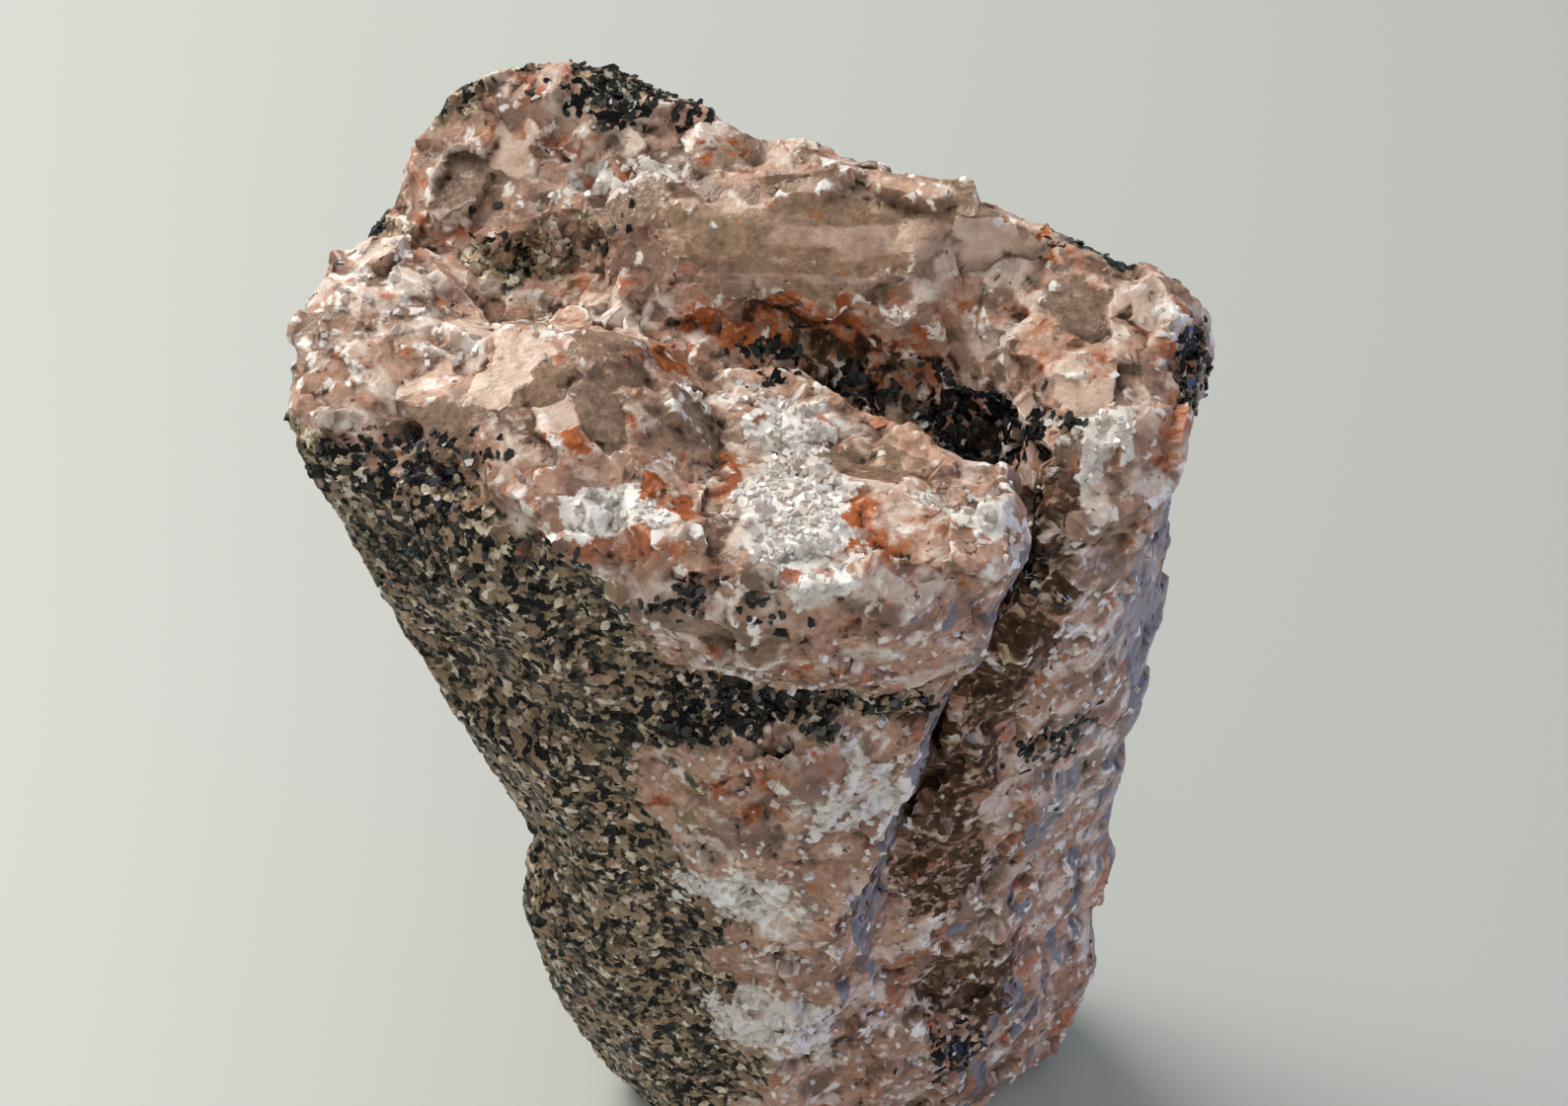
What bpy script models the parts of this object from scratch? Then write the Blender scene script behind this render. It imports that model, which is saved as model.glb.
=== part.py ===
"""A rough hand specimen of pink granite, broken on all sides, that stands on a small flat spot.

The stone is one solid. It is drawn as the lumps that its fractures left: a tapering body, a
front shelf and slab that end at a crevice, a pink mass and a pale lump on the top, a ridge with
a smooth quartz slope, a right-hand lump and a peak at the back. They are united, the groove, the
crevice and the hollows are cut, and the surface is then broken into faces: broad ones where the
rock split, and flat faces of single crystals.

The stone is drawn in millimetres and scaled to metres at the end, with +Z up and the origin in
the middle of the flat spot that it rests on. -Y is the front of the stone and +X its right.
"""

import bmesh
import bpy
from mathutils import Matrix, Vector, noise

MM = 0.001

# The mesh, in millimetres: squares while the stone is formed, then while folds are cleaned away
FORMING_VOXEL = 0.9
CLEANING_VOXEL = 0.7
TRIANGLES = 9400

# Broad swells and the ripples on them, in millimetres: how high, and how far apart
SWELL = 0.8
SWELL_SIZE = 21.0
RIPPLE = 0.3
RIPPLE_SIZE = 7.0

# How the rock breaks: the width of a face, the most that the surface moves to meet it, its tilt
SPLIT_FACES = {"size": 21.0, "limit": 1.7, "tilt": 0.26}
COARSE_CRYSTALS = {"size": 8.5, "limit": 1.3, "tilt": 0.60}
FINE_CRYSTALS = {"size": 4.6, "limit": 0.30, "tilt": 0.32}

# The coarse vein: its sides at mid height, how it leans to the left on its way up, and its back
VEIN_LEFT = -14.0
VEIN_RIGHT = 30.0
VEIN_BACK = 6.0
VEIN_LEAN = 0.42
VEIN_MIDDLE = 60.0
VEIN_WANDER = 5.0
VEIN_WANDER_SIZE = 14.0

# The broken top, where every crystal is coarse, and the rim behind it, where none is
TOP_FLOOR = 117.0
TOP_BACK = 28.0

# The hidden back, which split along broad faces
SPLIT_FROM = 9.0
SPLIT_TOP = 114.0

# The furthest that the surface is drawn to a named flat face
FACE_DEPTH = 3.0

# Rings of corners, each at its own height, from the flat spot to the broken top
LOWER_BODY = [
    (-27, -6, -3), (-18, -15, -3), (-3, -18, -3), (13, -15, -3), (25, -4, -3), (22, 9, -3),
    (6, 16, -3), (-12, 15, -3), (-24, 7, -3),
    (-33, -7, 7), (-21, -19, 7), (-2, -22, 7), (12, -18, 7), (33.5, 0, 7), (27, 14, 7), (4, 22, 7),
    (-17, 19, 7), (-29, 11, 7),
    (-39, -11, 33), (-27, -20, 33), (-8, -23, 33), (10, -18, 33), (21, -13, 33), (35.5, 2, 33),
    (31, 15, 33), (8, 25, 36), (-18, 24, 30), (-34, 17, 35),
    (-39.5, -11, 50), (-28, -21, 54), (-10, -23, 54), (8, -19, 52), (21, -12, 46), (36, 4, 42),
    (30, 13, 58), (4, 25.5, 66), (-20, 24, 60), (-36, 18, 57),
]

UPPER_BODY = [
    (-36, -10, 48), (-27, -20, 48), (-10, -22, 48), (8, -18, 46), (20, -12, 44), (35.5, 4, 40),
    (29, 12, 50), (0, 23, 50), (-33, 17, 48), (-41.5, -13, 67), (-31, -22, 67), (-10, -24, 67),
    (4, -23, 67), (12, -15, 67), (22, -12, 67), (34, 2.5, 67), (33.5, 11, 67), (10, 23, 76), (-34, 25, 72),
    (-46, 8, 70),
    (-60.5, -11, 116), (-45, -13, 116), (-31, -23.5, 113), (-10, -25, 113), (6, -24, 112),
    (13, -15, 112), (24, -15, 113), (33.4, -14, 113), (39, 3, 116), (37, 12, 117), (18, 19, 119),
    (-3, 27, 121), (-14, 33, 121), (-22, 37, 120), (-36, 37.5, 119), (-48, 34, 115),
    (-56, 24, 114), (-60, 5, 116),
]

FRONT_SLAB = [
    (10, -24, 88), (8.5, -25, 82), (-6, -28.5, 86), (-22, -25.5, 88), (3, -25, 52), (-3, -26.5, 44),
    (-17, -24, 38), (-9, -24, 16), (-5, -15, 16), (2, -12, 50), (8, -12, 87), (-24, -14, 87),
    (-22, -24, 60), (-5, -25.5, 92), (8, -22.5, 92),
]

FRONT_SHELF = [
    (-33, -25, 118), (-24, -29, 118), (-7, -30.5, 118.6), (12, -30, 117.5), (18.5, -25, 117),
    (18, -13, 116), (-7, -10, 117), (-29, -14, 118), (-7, -33, 106), (9.5, -30, 104),
    (15.5, -23, 100), (-23.5, -28.5, 106), (-14, -28, 98), (4, -27.5, 96), (11, -23.5, 91),
    (10, -14, 93), (-20, -14, 97),
]

PINK_MASS = [
    (-44, -1, 121), (-41, 5, 122), (-33, -4, 127), (-23, 2, 125), (-16, -6, 122), (-14, -13, 119),
    (-27, -20, 120), (-31, -24, 118), (-44, -13, 119), (-44, -1, 108), (-16, -6, 108),
    (-29, -20, 108), (-30, 8, 112),
]

PALE_LUMP = [
    (-59.4, 1, 124), (-59.8, 15, 124), (-55, 20, 123), (-46, 17, 125), (-42, 5, 124),
    (-44, -7, 121), (-61.3, -4, 121), (-61.3, -11, 118.5), (-60, -10, 112), (-58, 12, 108),
    (-45, -13, 112), (-44, 15, 108),
]

RIDGE = [
    (-16, 19.5, 130.5), (6, 17, 131), (17, 15.5, 130.5), (-16, 29.5, 131.5), (-3, 25, 132.5),
    (18, 18, 131), (-30, 20, 126), (-30, 12, 120), (-20, 10, 123), (-7, 8.5, 124.5),
    (4.5, 5.5, 122), (8, 12.5, 127.5), (12, 7.5, 115), (4, 5, 112), (-16, 8, 112),
    (19, 15, 114), (16, 20, 114), (-12, 31, 114), (-21, 22, 125),
]

RIGHT_LUMP = [
    (18.4, 18.5, 127.5), (26.4, 16, 126.5), (37.9, 12, 124), (40.4, 9.3, 122), (40.6, 5, 119),
    (36, -13.5, 117.5), (21, -15, 116), (19.5, 1, 118), (16.5, 8, 118), (19, -13, 104),
    (33.2, -13.5, 104), (38.4, 4, 104), (36, 13, 102), (18, 19, 104),
]

PEAK = [
    (-46.5, 35, 133.5), (-39, 36.5, 136.3), (-27, 35, 136.3), (-18, 31.5, 134.3), (-13, 30.5, 132),
    (-50.6, 32.5, 128.6), (-55.8, 25, 119), (-36, 38, 120), (-20, 37, 120), (-48, 34, 112),
    (-51, 21, 121), (-43, 23.5, 124), (-29, 23, 125), (-17, 23.5, 127.5), (-13, 31, 112),
    (-14, 20, 112), (-48, 20, 110), (-30, 18, 112),
]

# Cutters: the wedges of the groove, and the crevice that runs down from its end
GROOVE_UPPER = [
    (-19, 9, 118), (-9, 7.5, 113.5), (0, 5, 111.5), (1, -3, 121), (-12, 2, 123), (-20, 11, 124),
    (4, 10, 121), (-10, 11, 121), (0, 1, 113.5),
]

GROOVE_LOWER = [
    (-3, 5.5, 112), (9, 4.5, 110), (16, 2, 108), (19.5, -5, 106.5), (21, -14, 106), (-2, 0, 121),
    (9, -4, 121), (17, -14, 121), (22, -8, 122), (17.5, 6, 122), (6, 8, 119), (12, -1, 111),
    (18, -10, 108),
]

CREVICE = [
    (18, -6, 108), (21.5, -6, 108), (20.3, -14, 118), (22.2, -14, 118), (17.6, -14, 100),
    (20, -13, 100), (19.4, -26, 112), (21.6, -26, 112), (16.4, -26, 98), (19.6, -26, 98),
    (12, -24, 90.5), (15, -24, 90.5), (12.5, -12, 93), (14, -12, 93),
]

CREVICE_FOOT = [
    (11, -12, 93), (13, -12, 93), (11.3, -27, 92.5), (15, -27, 92.5), (8.4, -11, 80), (10, -11, 80),
    (9.2, -27, 80), (12, -27, 80), (2.4, -15, 51), (4.4, -15, 51), (2.8, -28, 51), (5.6, -28, 51),
]

# Broad flat faces: a point on the face, its outward normal and its reach each way
BROAD_FACES = {
    "rust wall": ((-6, 7.5, 118), (0.05, -0.97, 0.22), (14, 6, 6)),
    "right face": ((39, -2, 85), (0.90, -0.42, 0.02), (10, 14, 30)),
    "left face": ((-40, -19, 95), (-0.52, -0.80, -0.30), (16, 10, 20)),
    "lower left face": ((-33, -17, 30), (-0.60, -0.78, -0.18), (9, 8, 16)),
}

# Flat faces of single large crystals, given the same way
CRYSTAL_FACES = {
    "quartz slope": ((-2, 13.5, 127), (-0.03, -0.55, 0.83), (23, 9, 8)),
    "ridge end": ((11, 10.5, 123), (0.52, -0.62, 0.58), (7, 7, 10)),
    "orange crystal": ((22, 13.5, 125), (-0.15, -0.55, 0.82), (4, 4, 4)),
    "clear crystal": ((28, 9, 122.5), (0.20, -0.50, 0.84), (4, 4, 4)),
    "smoky face": ((25, 3.5, 118.3), (-0.10, -0.30, 0.95), (5, 4.5, 4)),
    "pink plate": ((35.5, 2.5, 119.5), (0.15, -0.60, 0.78), (4.5, 4.5, 4)),
    "white crystal": ((29, -9, 118), (0.20, -0.25, 0.95), (5, 4, 4)),
    "pale plate": ((-52, 8, 124), (-0.08, -0.10, 0.99), (6, 6, 4)),
    "left crystal": ((-55, -4, 121), (-0.25, -0.35, 0.90), (5, 5, 4)),
    "cream face": ((-33, -4, 125.8), (-0.15, -0.35, 0.92), (5, 4, 4)),
    "pink face": ((-24, -12, 121), (0.10, -0.60, 0.79), (6, 5, 4)),
    "shell face": ((-16, -9, 119.5), (0.50, -0.50, 0.70), (5, 6, 5)),
    "smoky pebble": ((3, -12, 117), (0.15, -0.40, 0.90), (4.5, 4, 4)),
    "lip crystal": ((9, -22, 117.5), (0.10, -0.50, 0.86), (4.5, 4, 4)),
    "lip face": ((-2, -30, 111), (-0.10, -0.90, 0.42), (6, 5, 5)),
    "shelf end face": ((12, -27, 108), (0.62, -0.76, 0.15), (5, 5, 7)),
    "peak face": ((-39, 29, 130), (-0.20, -0.72, 0.66), (7, 5, 7)),
    "peak side": ((-25, 27, 130), (0.15, -0.66, 0.74), (6, 5, 6)),
}

# Dents and lumps: centre, radius and how far the surface moves, inwards where negative
DENTS = {
    "biotite hollow": ((-8, -26, 91), (18, 8, 5), -1.6),
    "brown hollow": ((14, -19, 31), (7, 8, 7), -3.4),
    "small hollow": ((8, -22, 58), (4, 6, 5), -2.2),
    "valley": ((-33, 16, 122), (16, 5, 5), -1.6),
    "pale notch": ((-57, 19, 122), (4, 4, 6), -2.0),
    "left notch": ((-39, -11, 52), (5, 8, 2.4), -1.3),
    "step at the ridge": ((17.5, 13, 125), (2.2, 8, 6), -0.9),
    "shell hollow": ((-12, -13, 117.5), (5, 5, 4), -1.6),
    "front bulge": ((-2, -31, 110), (15, 7, 8), 1.2),
    "lower bulge": ((-6, -26, 70), (12, 7, 14), 1.0),
    "left shoulder": ((-38, -13, 42), (7, 8, 7), 0.8),
    "shelf end": ((16, -22, 112), (3.5, 4, 6), 0.8),
}


def clear_scene():
    for item in list(bpy.data.objects):
        bpy.data.objects.remove(item, do_unlink=True)


def granite_material():
    material = bpy.data.materials.new("granite")
    material.use_nodes = True
    shader = material.node_tree.nodes["Principled BSDF"]
    shader.inputs["Base Color"].default_value = (0.42, 0.27, 0.21, 1.0)
    shader.inputs["Roughness"].default_value = 0.62
    shader.inputs["Metallic"].default_value = 0.0
    return material


def lump(name, corners):
    """A convex lump of rock, from its corners in millimetres."""
    shape = bmesh.new()
    for corner in corners:
        shape.verts.new(corner)
    hull = bmesh.ops.convex_hull(shape, input=shape.verts)
    inside = [item for item in hull["geom_interior"] if isinstance(item, bmesh.types.BMVert)]
    bmesh.ops.delete(shape, geom=inside, context="VERTS")
    bmesh.ops.recalc_face_normals(shape, faces=shape.faces)
    mesh = bpy.data.meshes.new(name)
    shape.to_mesh(mesh)
    shape.free()
    item = bpy.data.objects.new(name, mesh)
    bpy.context.collection.objects.link(item)
    return item


def settle(item):
    """Turn what an object's modifiers make into its own mesh."""
    evaluated = item.evaluated_get(bpy.context.evaluated_depsgraph_get())
    mesh = bpy.data.meshes.new_from_object(evaluated)
    item.modifiers.clear()
    item.data = mesh


def combine(stone, other, operation):
    boolean = stone.modifiers.new(operation, "BOOLEAN")
    boolean.operation = operation
    boolean.object = other
    settle(stone)
    bpy.data.objects.remove(other, do_unlink=True)


def rough_block():
    """The stone's lumps united, and the groove and crevice cut between them."""
    stone = lump("pink_granite", LOWER_BODY)
    for name, corners in {
        "upper body": UPPER_BODY,
        "front slab": FRONT_SLAB,
        "pink mass": PINK_MASS,
        "pale lump": PALE_LUMP,
        "ridge": RIDGE,
        "right lump": RIGHT_LUMP,
        "peak": PEAK,
    }.items():
        combine(stone, lump(name, corners), "UNION")
    for name, corners in {"crevice": CREVICE, "crevice foot": CREVICE_FOOT}.items():
        combine(stone, lump(name, corners), "DIFFERENCE")
    combine(stone, lump("front shelf", FRONT_SHELF), "UNION")
    for name, corners in {"upper groove": GROOVE_UPPER, "lower groove": GROOVE_LOWER}.items():
        combine(stone, lump(name, corners), "DIFFERENCE")
    return stone


def even_mesh(stone, voxel):
    """Cover the stone with small even squares, which also removes any fold in its surface."""
    remesh = stone.modifiers.new("even mesh", "REMESH")
    remesh.mode = "VOXEL"
    remesh.voxel_size = voxel
    settle(stone)


def reach_of(point, centre, radii):
    """1 in the middle of an ellipsoid, falling smoothly to 0 at its edge."""
    offset = Vector(((point[i] - centre[i]) / radii[i] for i in range(3)))
    inside = max(0.0, 1.0 - offset.length_squared)
    return inside * inside * (3.0 - 2.0 * inside)


def is_coarse(point):
    """Whether a point is on the broken top or in the coarse vein, not in the fine grey granite."""
    wander = VEIN_WANDER * noise.noise(point / VEIN_WANDER_SIZE)
    if point.z > TOP_FLOOR + 0.3 * wander and point.y < TOP_BACK:
        return True
    across = point.x + VEIN_LEAN * (min(point.z, TOP_FLOOR) - VEIN_MIDDLE) + wander
    return VEIN_LEFT < across < VEIN_RIGHT and point.y < VEIN_BACK


def is_fine(point):
    return not is_coarse(point)


def is_back(point):
    """Whether a point is on the back or the back half of a side, below the broken top."""
    return point.y > SPLIT_FROM and point.z < SPLIT_TOP


def points_and_normals(mesh):
    places = [vertex.co.copy() for vertex in mesh.vertices]
    normals = [vertex.normal.copy() for vertex in mesh.vertices]
    return places, normals


def put_back(mesh, places):
    for vertex, place in zip(mesh.vertices, places):
        vertex.co = place
    mesh.update()


def swell_and_ripple(mesh):
    """Broad swells and smaller ripples, as a fracture through many crystals leaves."""
    places, normals = points_and_normals(mesh)
    moved = []
    for place, normal in zip(places, normals):
        swell = SWELL * noise.noise(place / SWELL_SIZE + Vector((3.1, 0.0, 7.7)))
        ripple = RIPPLE * noise.noise(place / RIPPLE_SIZE + Vector((9.2, 4.4, 0.0)))
        moved.append(place + normal * (swell + ripple))
    put_back(mesh, moved)


def dent_and_bulge(mesh):
    places, normals = points_and_normals(mesh)
    for centre, radii, move in DENTS.values():
        for index, place in enumerate(places):
            places[index] = place + normals[index] * move * reach_of(place, centre, radii)
    put_back(mesh, places)


def press_flat(mesh, faces):
    """Draw the surface onto the plane of each named face, within its reach."""
    places, normals = points_and_normals(mesh)
    for middle, facing, radii in faces.values():
        middle = Vector(middle)
        facing = Vector(facing).normalized()
        near = [i for i, place in enumerate(places) if reach_of(place, middle, radii) > 0.0]
        near = [i for i in near if normals[i].dot(facing) > 0.3]
        if not near:
            continue
        weights = [reach_of(places[i], middle, radii) for i in near]
        level = sum(w * (places[i] - middle).dot(facing) for i, w in zip(near, weights)) / sum(weights)
        for index, weight in zip(near, weights):
            height = (places[index] - middle).dot(facing) - level
            pull = min(1.0, 1.8 * weight) * max(-FACE_DEPTH, min(FACE_DEPTH, height))
            places[index] = places[index] - facing * pull
    put_back(mesh, places)


def break_into_faces(mesh, kind, belongs):
    """Give each crystal or split that reaches the surface one flat face, at its own tilt.

    kind says how wide the faces are, how far the surface may move and how much they tilt.
    belongs tells which points of the surface break in this way.
    """
    places, normals = points_and_normals(mesh)
    faces = {}
    for index, place in enumerate(places):
        if belongs(place):
            seed = noise.voronoi(place / kind["size"])[1][0]
            faces.setdefault(tuple(round(part, 3) for part in seed), []).append(index)
    for seed, members in faces.items():
        middle = sum((places[i] for i in members), Vector()) / len(members)
        facing = sum((normals[i] for i in members), Vector()).normalized()
        tilt = noise.cell_vector(Vector(seed) * 7.3) - Vector((0.5, 0.5, 0.5))
        facing = (facing + tilt * kind["tilt"]).normalized()
        for index in members:
            lean = normals[index].dot(facing)
            if lean > 0.35:
                shift = (middle - places[index]).dot(facing) / lean
                shift = max(-kind["limit"], min(kind["limit"], shift))
                places[index] = places[index] + normals[index] * shift
    put_back(mesh, places)


def thin_out(stone):
    """Keep the edges of the crystals and let their flat faces be large triangles."""
    triangles = sum(len(face.vertices) - 2 for face in stone.data.polygons)
    decimate = stone.modifiers.new("thin out", "DECIMATE")
    decimate.ratio = TRIANGLES / triangles
    decimate.use_collapse_triangulate = True
    settle(stone)


def cut_flat_spot(stone):
    """Slice the foot off level at z = 0, so the stone rests on a flat spot."""
    shape = bmesh.new()
    shape.from_mesh(stone.data)
    cut = bmesh.ops.bisect_plane(
        shape, geom=shape.verts[:] + shape.edges[:] + shape.faces[:], dist=0.01,
        plane_co=(0, 0, 0), plane_no=(0, 0, 1), clear_inner=True)
    rim = [item for item in cut["geom_cut"] if isinstance(item, bmesh.types.BMEdge)]
    spot = bmesh.ops.contextual_create(shape, geom=rim)["faces"]
    bmesh.ops.triangulate(shape, faces=spot)
    bmesh.ops.recalc_face_normals(shape, faces=shape.faces)
    shape.to_mesh(stone.data)
    shape.free()


def build():
    clear_scene()
    stone = rough_block()
    even_mesh(stone, FORMING_VOXEL)
    dent_and_bulge(stone.data)
    swell_and_ripple(stone.data)
    press_flat(stone.data, BROAD_FACES)
    break_into_faces(stone.data, SPLIT_FACES, is_back)
    break_into_faces(stone.data, COARSE_CRYSTALS, is_coarse)
    break_into_faces(stone.data, FINE_CRYSTALS, is_fine)
    press_flat(stone.data, CRYSTAL_FACES)
    even_mesh(stone, CLEANING_VOXEL)
    thin_out(stone)
    cut_flat_spot(stone)
    stone.data.transform(Matrix.Scale(MM, 4))
    stone.data.materials.clear()
    stone.data.materials.append(granite_material())
    return stone


build()
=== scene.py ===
# %% [markdown]
# The stone is one broken piece of pink granite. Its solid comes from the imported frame, at its real
# size. The solid has the lumps, the groove, the crevice and the larger crystals. What it lacks is
# what the eye reads as granite: thousands of grains, each with its own colour, tilt and gloss. A
# bump map alone would leave the outline smooth, and a sculpt by hand would take days. Here the
# surface is made again from a copy of the solid, finely enough to break it into crystals in code.

# %% The frame
import math

import bpy
import numpy as np
from mathutils import Matrix, Vector


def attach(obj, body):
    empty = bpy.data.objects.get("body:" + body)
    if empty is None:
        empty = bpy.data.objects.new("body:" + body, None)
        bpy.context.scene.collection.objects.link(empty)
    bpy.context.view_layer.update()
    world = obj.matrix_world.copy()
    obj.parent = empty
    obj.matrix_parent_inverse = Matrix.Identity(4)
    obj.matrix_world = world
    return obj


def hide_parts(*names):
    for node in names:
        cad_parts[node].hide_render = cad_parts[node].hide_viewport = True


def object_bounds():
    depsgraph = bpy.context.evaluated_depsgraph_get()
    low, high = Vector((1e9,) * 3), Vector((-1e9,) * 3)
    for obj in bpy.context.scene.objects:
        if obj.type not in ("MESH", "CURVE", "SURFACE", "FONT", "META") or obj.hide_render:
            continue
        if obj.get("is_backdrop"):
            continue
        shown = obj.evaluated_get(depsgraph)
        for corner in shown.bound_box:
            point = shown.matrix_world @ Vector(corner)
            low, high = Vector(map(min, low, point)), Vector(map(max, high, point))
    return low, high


MM = 0.001

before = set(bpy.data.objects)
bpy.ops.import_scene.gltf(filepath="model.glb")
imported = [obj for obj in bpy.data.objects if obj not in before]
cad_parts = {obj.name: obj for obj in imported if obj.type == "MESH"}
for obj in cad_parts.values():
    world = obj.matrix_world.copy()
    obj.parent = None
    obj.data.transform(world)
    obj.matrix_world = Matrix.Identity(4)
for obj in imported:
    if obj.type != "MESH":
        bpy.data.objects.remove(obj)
bpy.context.view_layer.update()
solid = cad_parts["pink_granite"]
solid_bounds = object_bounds()
low, high = solid_bounds
print("solid, mm:", [round(side / MM) for side in high - low])

# %% [markdown]
# The camera stands about 0.4 m from the stone, looks 42 degrees down on it, and sees a narrow
# angle, as a close-up lens does. Its place was worked out from the outline of the stone, so it is
# written as a real place in millimetres. Its focal length was found in pixels of a picture that is
# 1588 pixels wide, and is turned into the lens of a 36 mm sensor.

# %% The camera
CAMERA_PLACE = Vector((-7.237, -253.387, 319.693)) * MM
CAMERA_DOWN = 42.0
PICTURE_WIDTH = 1588
FOCUS_PIXELS = 2950
SENSOR = 36.0
NEAREST_SEEN = 10 * MM

bpy.ops.object.camera_add(location=CAMERA_PLACE, rotation=(math.radians(90 - CAMERA_DOWN), 0, 0))
camera = bpy.context.object
camera.data.sensor_width = SENSOR
camera.data.lens = SENSOR * FOCUS_PIXELS / PICTURE_WIDTH
camera.data.clip_start = NEAREST_SEEN
bpy.context.scene.camera = camera
print("lens, mm:", round(camera.data.lens, 1))

# %% [markdown]
# Four small helpers do the chores. An operator works on all that is selected, so `only` selects
# one object and nothing else. `apply_all` makes what the modifiers show the real mesh. `add` puts
# one node in a tree, sets it up and wires it: a value that is a socket becomes a link, and
# anything else is typed into the socket. `paint` turns a screen colour, as a paint chart gives it,
# into the linear numbers that shaders use, by the standard formula of such colours.

# %% Helpers
def only(item):
    bpy.ops.object.select_all(action="DESELECT")
    item.select_set(True)
    bpy.context.view_layer.objects.active = item


def apply_all(item):
    only(item)
    for modifier in list(item.modifiers):
        bpy.ops.object.modifier_apply(modifier=modifier.name)


def add(tree, kind, inputs=None, **settings):
    node = tree.nodes.new(kind)
    for name, value in settings.items():
        setattr(node, name, value)
    for key, value in (inputs or {}).items():
        if isinstance(value, bpy.types.NodeSocket):
            tree.links.new(value, node.inputs[key])
        else:
            node.inputs[key].default_value = value
    return node


def paint(code):
    parts = [int(code[at:at + 2], 16) / 255 for at in (1, 3, 5)]
    return tuple(part / 12.92 if part <= 0.04045 else ((part + 0.055) / 1.055) ** 2.4
                 for part in parts) + (1.0,)


# %% [markdown]
# The working copy is drawn in millimetres, because the remesher and the patterns then use plain
# numbers. The solid's loose triangles are merged first. The voxel remesh covers the stone with
# small even squares, and a light smoothing takes away the edges of the solid's larger triangles,
# so that the grain below is the only thing that is sharp.

# %% The working copy
FINE_SQUARES = 0.42
SAME_PLACE = 0.001
squares = FINE_SQUARES

stone = bpy.data.objects.new("granite_stone", solid.data.copy())
bpy.context.scene.collection.objects.link(stone)
stone.data.transform(Matrix.Scale(1 / MM, 4))
only(stone)
bpy.ops.object.mode_set(mode="EDIT")
bpy.ops.mesh.select_all(action="SELECT")
bpy.ops.mesh.remove_doubles(threshold=SAME_PLACE)
bpy.ops.object.mode_set(mode="OBJECT")
remesh = stone.modifiers.new("even squares", "REMESH")
remesh.mode = "VOXEL"
remesh.voxel_size = squares
smooth = stone.modifiers.new("soft start", "SMOOTH")
smooth.factor = 0.5
smooth.iterations = 4
apply_all(stone)
print("squares:", len(stone.data.polygons))

# %% [markdown]
# Granite is a jumble of crystals that grew until they met, so a pattern of cells, which gives each
# point to its nearest seed, is a fair model of it. Such cells have straight sides, so space is bent
# a little first. Three sizes are used, in millimetres: crystals of the coarse vein, the grains
# that they break into, and the specks of the fine grey granite. The pattern is read twice. Here,
# geometry nodes write each point's crystal on the mesh, so that the shape can break where crystals
# meet. Later, the material gives the same crystals their colours. Both start from the place that a
# point had before it was moved, which is kept as the attribute `bed`. A drift is a soft noise that
# wanders over a few millimetres, and two of them are written too.

# %% The crystal pattern
CRYSTAL = 6.4
GRAIN = 2.5
SPECK = 1.05
SIZES = {"crystal": CRYSTAL, "grain": GRAIN, "speck": SPECK}
DRIFTS = {"broad_drift": 13.0, "fine_drift": 3.2}
BEND = 0.9
BENDS_PER_CELL = 1.2


def cells(tree, place, size):
    bent = add(tree, "ShaderNodeTexNoise", {"Vector": place, "Scale": BENDS_PER_CELL / size,
               "Detail": 1.0})
    crooked = add(tree, "ShaderNodeVectorMath", {0: bent.outputs["Color"], 1: (BEND * size,) * 3,
                  2: place}, operation="MULTIPLY_ADD")
    return add(tree, "ShaderNodeTexVoronoi", {"Vector": crooked.outputs[0], "Scale": 1.0 / size})


def drift(tree, place, size, detail=2.0):
    return add(tree, "ShaderNodeTexNoise", {"Vector": place, "Scale": 1.0 / size, "Detail": detail})


def mesh_tree(name):
    tree = bpy.data.node_groups.new(name, "GeometryNodeTree")
    for way in ("INPUT", "OUTPUT"):
        tree.interface.new_socket("Mesh", in_out=way, socket_type="NodeSocketGeometry")
    return tree


def write_pattern(item):
    tree = mesh_tree("crystals on the mesh")
    shape = add(tree, "NodeGroupInput").outputs[0]
    place = add(tree, "GeometryNodeInputPosition").outputs[0]
    kept = {"bed": place}
    for name, size in DRIFTS.items():
        kept[name] = drift(tree, place, size).outputs["Color"]
    for name, size in SIZES.items():
        kept[name] = cells(tree, place, size).outputs["Position"]
    for name, vector in kept.items():
        store = add(tree, "GeometryNodeStoreNamedAttribute", {"Geometry": shape, "Name": name,
                    "Value": vector}, data_type="FLOAT_VECTOR", domain="POINT")
        shape = store.outputs[0]
    add(tree, "NodeGroupOutput", {0: shape})
    item.modifiers.new("crystals", "NODES").node_group = tree
    apply_all(item)


write_pattern(stone)
print("written:", [layer.name for layer in stone.data.attributes])

# %% [markdown]
# The numbers now go into arrays, which handle all the points at once. Each point has the middle of
# its cell for each of the three sizes. Points with the same middle are in the same crystal, so the
# different middles are counted, and their numbers are the crystals' numbers.

# %% The crystals by number
def vectors(item, name):
    layer = item.data.attributes[name]
    found = np.empty(3 * len(layer.data), np.float32)
    layer.data.foreach_get("vector", found)
    return found.reshape(-1, 3).astype(float)


def numbered(item, name):
    middles = np.round(vectors(item, name), 2)
    return np.unique(middles, axis=0, return_inverse=True)[1].ravel()


bed = vectors(stone, "bed")
crystals = {name: numbered(stone, name) for name in SIZES}
print({name: int(group.max()) + 1 for name, group in crystals.items()})

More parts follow.
